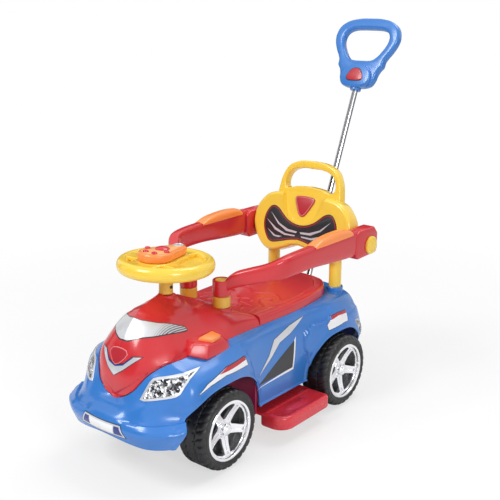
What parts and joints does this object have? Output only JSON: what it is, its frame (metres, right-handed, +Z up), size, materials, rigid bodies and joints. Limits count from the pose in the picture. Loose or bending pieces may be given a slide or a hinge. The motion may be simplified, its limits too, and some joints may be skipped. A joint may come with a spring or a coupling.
{
  "type": "ride-on push car",
  "caption": "Foot-to-floor ride-on car for a small child, with steering wheel, backrest, swing-up guard arms, slide-in footrests, storage under the seat and a parent's push handle.",
  "frame": {"origin": "on the floor, under the middle of the bounding box", "axes": "+Z up, +Y towards the back of the car, +X towards the rider's left"},
  "size_m": [0.362, 0.905, 0.8248],
  "materials": {
    "blue": "smooth blow-moulded plastic, soft gloss",
    "red": "smooth blow-moulded plastic, soft gloss",
    "yellow": "smooth moulded plastic, soft gloss",
    "orange": "smooth moulded plastic, soft gloss",
    "crimson": "plain moulded plastic",
    "black": "plain black plastic",
    "tyre": "dark moulded tread and side wall",
    "chrome": "bright plating",
    "steel": "plain zinc-plated steel",
    "silver": "silver-painted plastic"
  },
  "bodies": {
    "car": {"body_shell": "blue", "hood_cover": "red", "mirror_lens_left": "orange", "mirror_lens_right": "orange", "chassis_frame": "crimson", "footrest_rail_front": "crimson", "footrest_rail_rear": "crimson", "rear_axle_rod": "steel", "rear_left_axle_nut": "steel", "rear_right_axle_nut": "steel", "front_post_left": "yellow", "front_post_right": "yellow", "backrest": "yellow", "backrest_panel": "black", "backrest_badge": "red", "push_rod": "chrome", "rod_cross_bolt": "steel", "push_handle": "blue", "handle_badge": "red"},
    "steering": {"steering_wheel": "yellow", "column_sleeve": "yellow", "column_screw": "black", "steering_shaft": "steel", "sound_console": "orange", "sound_module": "black", "battery_cover": "yellow", "speaker_disc": "silver"},
    "tie_plate": {"tie_plate": "steel"},
    "knuckle_left": {"knuckle_left": "steel", "front_left_axle_nut": "steel"},
    "knuckle_right": {"knuckle_right": "steel", "front_right_axle_nut": "steel"},
    "front_left_wheel": {"front_left_tyre": "tyre", "front_left_rim": "chrome", "front_left_hub_cap": "chrome"},
    "front_right_wheel": {"front_right_tyre": "tyre", "front_right_rim": "chrome", "front_right_hub_cap": "chrome"},
    "rear_left_wheel": {"rear_left_tyre": "tyre", "rear_left_rim": "chrome", "rear_left_hub_cap": "chrome"},
    "rear_right_wheel": {"rear_right_tyre": "tyre", "rear_right_rim": "chrome", "rear_right_hub_cap": "chrome"},
    "seat_lid": {"seat_lid": "red", "seat_hinge_rod": "steel"},
    "guard_arm_left": {"guard_arm_left": "red", "arm_pad_left": "orange", "pivot_cap_left": "yellow"},
    "footrest_left": {"footrest_left": "red"},
    "guard_arm_right": {"guard_arm_right": "red", "arm_pad_right": "orange", "pivot_cap_right": "yellow"},
    "footrest_right": {"footrest_right": "red"},
    "horn_button": {"horn_button": "red"},
    "melody_button_1": {"melody_button_1": "red"},
    "melody_button_2": {"melody_button_2": "red"},
    "melody_button_3": {"melody_button_3": "red"},
    "melody_button_4": {"melody_button_4": "red"}
  },
  "joints": [
    {"name": "steering_turn", "type": "hinge", "parent": "car", "child": "steering", "pos_m": [0, -0.27097, 0.386], "axis": [0, 0.0436, 0.999], "range_deg": [-25, 25]},
    {"name": "tie_plate_pivot", "type": "hinge", "parent": "steering", "child": "tie_plate", "pos_m": [0, -0.247, 0.06385], "axis": [0, 0.0436, 0.999], "range_deg": [-25, 25]},
    {"name": "kingpin_left", "type": "hinge", "parent": "car", "child": "knuckle_left", "pos_m": [0.068, -0.26147, 0.08], "axis": [0, 0.0436, 0.999], "range_deg": [-25, 25]},
    {"name": "kingpin_right", "type": "hinge", "parent": "car", "child": "knuckle_right", "pos_m": [-0.068, -0.26147, 0.08], "axis": [0, 0.0436, 0.999], "range_deg": [-25, 25]},
    {"name": "front_left_wheel_spin", "type": "hinge", "parent": "knuckle_left", "child": "front_left_wheel", "pos_m": [0.1177, -0.26147, 0.08], "axis": [1, 0, 0], "continuous": true},
    {"name": "front_right_wheel_spin", "type": "hinge", "parent": "knuckle_right", "child": "front_right_wheel", "pos_m": [-0.1177, -0.26147, 0.08], "axis": [1, 0, 0], "continuous": true},
    {"name": "rear_left_wheel_spin", "type": "hinge", "parent": "car", "child": "rear_left_wheel", "pos_m": [0.1326, 0.11353, 0.08], "axis": [1, 0, 0], "continuous": true},
    {"name": "rear_right_wheel_spin", "type": "hinge", "parent": "car", "child": "rear_right_wheel", "pos_m": [-0.1326, 0.11353, 0.08], "axis": [1, 0, 0], "continuous": true},
    {"name": "seat_lid_hinge", "type": "hinge", "parent": "car", "child": "seat_lid", "pos_m": [0, 0.17783, 0.241], "axis": [-1, 0, 0], "range_deg": [0, 40]},
    {"name": "guard_arm_left_pivot", "type": "hinge", "parent": "car", "child": "guard_arm_left", "pos_m": [0.1355, 0.19653, 0.352], "axis": [-1, 0, 0], "range_deg": [0, 100]},
    {"name": "footrest_left_slide", "type": "slide", "parent": "car", "child": "footrest_left", "axis": [-1, 0, 0], "range_m": [0, 0.052]},
    {"name": "guard_arm_right_pivot", "type": "hinge", "parent": "car", "child": "guard_arm_right", "pos_m": [-0.1355, 0.19653, 0.352], "axis": [-1, 0, 0], "range_deg": [0, 100]},
    {"name": "footrest_right_slide", "type": "slide", "parent": "car", "child": "footrest_right", "axis": [1, 0, 0], "range_m": [0, 0.052]},
    {"name": "horn_push", "type": "slide", "parent": "steering", "child": "horn_button", "axis": [0, -0.0436, -0.999], "range_m": [0, 0.002], "stiffness_N_per_m": 300, "springref_m": -0.002},
    {"name": "melody_push_1", "type": "slide", "parent": "steering", "child": "melody_button_1", "axis": [0, -0.0436, -0.999], "range_m": [0, 0.002], "stiffness_N_per_m": 150, "springref_m": -0.002},
    {"name": "melody_push_2", "type": "slide", "parent": "steering", "child": "melody_button_2", "axis": [0, -0.0436, -0.999], "range_m": [0, 0.002], "stiffness_N_per_m": 150, "springref_m": -0.002},
    {"name": "melody_push_3", "type": "slide", "parent": "steering", "child": "melody_button_3", "axis": [0, -0.0436, -0.999], "range_m": [0, 0.002], "stiffness_N_per_m": 150, "springref_m": -0.002},
    {"name": "melody_push_4", "type": "slide", "parent": "steering", "child": "melody_button_4", "axis": [0, -0.0436, -0.999], "range_m": [0, 0.002], "stiffness_N_per_m": 150, "springref_m": -0.002}
  ],
  "couplings": [
    {"joint": "tie_plate_pivot", "follows": "steering_turn", "ratio": -1},
    {"joint": "kingpin_left", "follows": "steering_turn", "ratio": 1},
    {"joint": "kingpin_right", "follows": "steering_turn", "ratio": 1}
  ]
}
